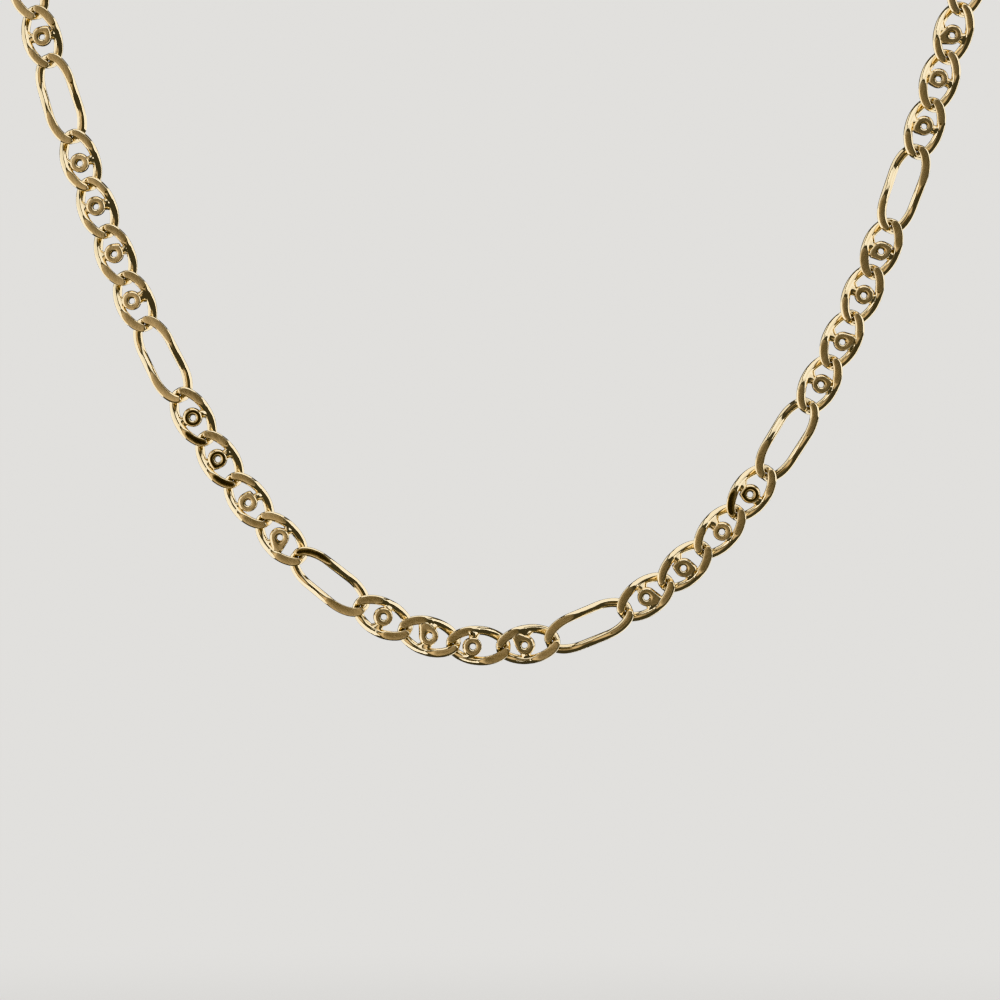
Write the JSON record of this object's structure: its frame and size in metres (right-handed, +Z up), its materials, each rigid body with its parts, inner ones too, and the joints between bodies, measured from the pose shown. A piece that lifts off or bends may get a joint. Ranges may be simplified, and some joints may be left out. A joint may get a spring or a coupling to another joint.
{
  "type": "figaro chain necklace",
  "caption": "Gold figaro neck chain of flat-ground curb links, short links with soldered eyes between plain long ones, closed at the nape and hanging in a front curve.",
  "frame": {"origin": "the point of the nape that the clasp's barrel rests on, on the middle plane of the neck", "axes": "+Z up, +Y to the back, +X to the wearer's left as the front curve is seen from the front"},
  "size_m": [0.1432, 0.0897, 0.1285],
  "materials": {
    "chain": "yellow gold, polished round edges and finely ground flat faces",
    "clasp": "yellow gold, polished"
  },
  "bodies": {
    "root": {"chain_left": "chain", "chain_right": "chain", "clasp": "clasp"}
  },
  "joints": []
}
